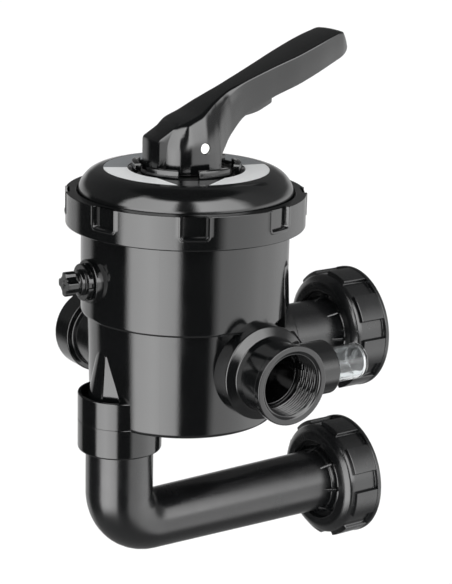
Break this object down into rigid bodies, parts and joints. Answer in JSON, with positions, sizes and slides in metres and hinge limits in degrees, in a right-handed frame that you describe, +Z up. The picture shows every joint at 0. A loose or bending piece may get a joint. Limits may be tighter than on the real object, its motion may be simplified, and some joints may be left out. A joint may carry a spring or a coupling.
{
  "type": "multiport valve",
  "caption": "Side mounted multiport valve for a pool sand filter: lever handle over a domed lid, threaded ports, sight glass, bleed plug and two filter unions joined by an elbow pipe",
  "frame": {"origin": "centre of the upper filter union's sealing face, which is where the valve is held", "axes": "+Y points out of both filter unions towards the filter, +Z is up along the selector stem, +X is the side of the port with the sight glass"},
  "size_m": [0.231, 0.2569, 0.4091],
  "materials": {
    "black_abs": "glossy injection moulded black ABS",
    "black_pvc": "satin injection moulded black PVC",
    "label_print": "silver grey printed plate under clear varnish",
    "clear_pc": "clear injection moulded polycarbonate",
    "nbr_rubber": "moulded black nitrile rubber",
    "stainless": "turned stainless steel",
    "spring_steel": "coiled stainless spring wire",
    "black_acetal": "turned black acetal"
  },
  "bodies": {
    "housing": {"valve_body": "black_abs", "spider_gasket": "nbr_rubber", "lid": "black_abs", "lid_ring": "nbr_rubber", "stem_ring_lower": "nbr_rubber", "stem_ring_upper": "nbr_rubber", "position_plate": "label_print", "wear_washer": "black_acetal", "union_tail": "black_pvc", "elbow_pipe": "black_pvc", "union_ring_upper": "nbr_rubber", "union_ring_lower": "nbr_rubber"},
    "turning_group": {"spring_washer": "stainless"},
    "rotor_group": {"rotor": "black_abs", "hinge_pin": "stainless", "rotor_spring": "spring_steel"},
    "lever": {"handle": "black_abs"},
    "ring": {"locking_ring": "black_abs"},
    "nut_upper": {"union_nut_upper": "black_pvc"},
    "nut_lower": {"union_nut_lower": "black_pvc"},
    "plug": {"bleed_plug": "black_abs", "bleed_plug_ring": "nbr_rubber"},
    "glass": {"sight_glass": "clear_pc", "sight_glass_ring": "nbr_rubber"}
  },
  "joints": [
    {"name": "selector_turn", "type": "hinge", "parent": "housing", "child": "turning_group", "pos_m": [0, -0.138, 0.1197], "axis": [0, 0, 1], "continuous": true},
    {"name": "rotor_lift", "type": "slide", "parent": "turning_group", "child": "rotor_group", "axis": [0, 0, 1], "range_m": [0, 0.004], "stiffness_N_per_m": 1500, "springref_m": -0.004, "deforming": ["rotor_spring"]},
    {"name": "lever_tilt", "type": "hinge", "parent": "rotor_group", "child": "lever", "pos_m": [0, -0.137, 0.16], "axis": [-1, 0, 0], "range_deg": [0, 20]},
    {"name": "ring_turn", "type": "hinge", "parent": "housing", "child": "ring", "pos_m": [0, -0.138, 0.114], "axis": [0, 0, 1], "range_deg": [0, 22.5]},
    {"name": "nut_upper_turn", "type": "hinge", "parent": "housing", "child": "nut_upper", "pos_m": [0, 0.005, 0], "axis": [0, 1, 0], "continuous": true},
    {"name": "nut_lower_turn", "type": "hinge", "parent": "housing", "child": "nut_lower", "pos_m": [0, 0.005, -0.125], "axis": [0, 1, 0], "continuous": true},
    {"name": "bleed_plug_turn", "type": "hinge", "parent": "housing", "child": "plug", "pos_m": [-0.00445, -0.22288, 0.0665], "axis": [-0.0523, -0.9986, 0], "continuous": true},
    {"name": "sight_glass_turn", "type": "hinge", "parent": "housing", "child": "glass", "pos_m": [0.096, -0.068, 0.0093], "axis": [0, 1, 0], "continuous": true}
  ],
  "couplings": [
    {"joint": "lever_tilt", "follows": "rotor_lift", "rad_per_m": 87.266}
  ]
}
